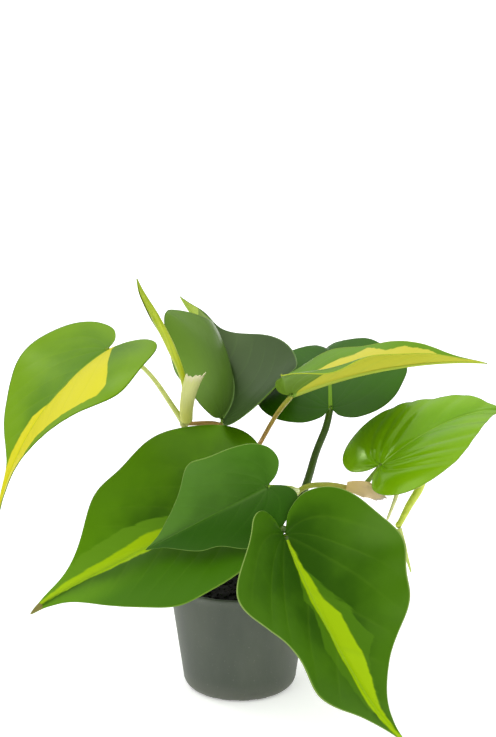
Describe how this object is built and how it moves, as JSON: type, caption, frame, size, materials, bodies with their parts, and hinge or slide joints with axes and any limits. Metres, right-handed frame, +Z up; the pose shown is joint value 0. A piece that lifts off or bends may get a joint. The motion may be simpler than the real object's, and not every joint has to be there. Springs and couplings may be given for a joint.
{
  "type": "potted heartleaf philodendron",
  "caption": "Young heartleaf philodendron with lime-striped leaves on thin trailing stems, rooted in soil in a small round plastic nursery pot.",
  "frame": {"origin": "middle of the flat pad under the pot, in the plane that the pot stands on", "axes": "+Z up along the pot's axis, -Y towards the side that faces the viewer, +X to the viewer's right"},
  "size_m": [0.2107, 0.1877, 0.1763],
  "materials": {
    "pot_plastic": "matte",
    "potting_soil": "matte",
    "leaf_dark": "satin",
    "leaf_light": "satin",
    "stem": "satin",
    "young_growth": "satin",
    "dry_sheath": "matte"
  },
  "bodies": {
    "root": {"pot": "pot_plastic", "soil": "potting_soil", "leaf_upper_left": "leaf_light", "leaf_lower_left": "leaf_dark", "leaf_small_front": "leaf_dark", "leaf_lower_right": "leaf_dark", "leaf_right": "leaf_light", "leaf_folded_right": "leaf_light", "leaf_back_right": "leaf_dark", "leaf_upper_middle": "leaf_dark", "vine_left": "stem", "vine_middle": "stem", "vine_right": "stem", "new_leaf": "young_growth", "shoot_tip": "young_growth", "sheath_left": "dry_sheath", "sheath_right": "dry_sheath"}
  },
  "joints": []
}
